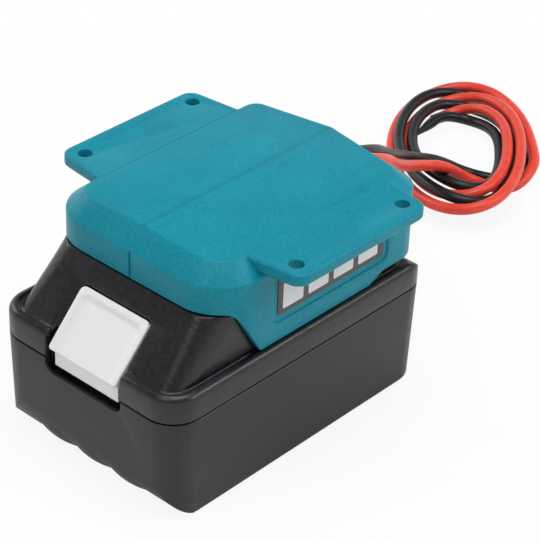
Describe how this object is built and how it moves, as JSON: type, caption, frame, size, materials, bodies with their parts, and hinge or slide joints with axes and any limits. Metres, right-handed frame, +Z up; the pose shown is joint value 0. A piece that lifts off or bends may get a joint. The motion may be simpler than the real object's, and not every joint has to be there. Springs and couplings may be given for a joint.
{
  "type": "battery adapter",
  "caption": "Wired battery adapter with four-hole mounting ears, docked on the slide rails of a cordless-tool battery pack.",
  "frame": {"origin": "centre of the battery's footprint on the surface it stands on", "axes": "+Z up, -Y the front with the release button, +Y the back with the wires, +X the side with the sticker"},
  "size_m": [0.1259, 0.2698, 0.0771],
  "materials": {
    "case_charcoal": "fine matt",
    "case_black": "coarse grain",
    "button_white": "satin",
    "hook_black": "satin",
    "spring_steel": "bright",
    "cell_sleeve": "satin sleeve",
    "holder_black": "matt",
    "nickel": "bright",
    "insulating_card": "matt",
    "circuit_green": "satin",
    "clip_copper": "bright",
    "socket_black": "satin",
    "screw_steel": "zinc plated",
    "housing_teal": "fine matt",
    "block_black": "matt",
    "blade_brass": "bright",
    "label_dark": "printed film",
    "grommet_rubber": "matt",
    "wire_red": "satin",
    "wire_black": "satin"
  },
  "bodies": {
    "battery": {"battery_lower_case": "case_charcoal", "battery_upper_case": "case_black", "latch_springs": "spring_steel", "battery_cells": "cell_sleeve", "cell_holder_left": "holder_black", "cell_holder_right": "holder_black", "cell_links": "nickel", "insulating_sheet": "insulating_card", "control_board": "circuit_green", "positive_clip": "clip_copper", "negative_clip": "clip_copper", "signal_socket": "socket_black", "case_screws": "screw_steel"},
    "adapter": {"adapter_housing": "housing_teal", "terminal_block": "block_black", "positive_blade": "blade_brass", "negative_blade": "blade_brass", "block_screws": "screw_steel", "rating_label": "label_dark", "wire_grommet": "grommet_rubber", "red_wire_inside": "wire_red", "black_wire_inside": "wire_black", "red_wire_lead": "wire_red", "black_wire_lead": "wire_black", "red_wire_coil": "wire_red", "black_wire_coil": "wire_black"},
    "latch": {"release_button": "button_white", "latch_hook": "hook_black"}
  },
  "joints": [
    {"name": "adapter_slide", "type": "slide", "parent": "battery", "child": "adapter", "axis": [0, 1, 0], "range_m": [0, 0.072]},
    {"name": "release_press", "type": "slide", "parent": "battery", "child": "latch", "axis": [0, 0, -1], "range_m": [0, 0.0035], "stiffness_N_per_m": 1500, "springref_m": -0.003, "deforming": ["latch_springs"]}
  ]
}
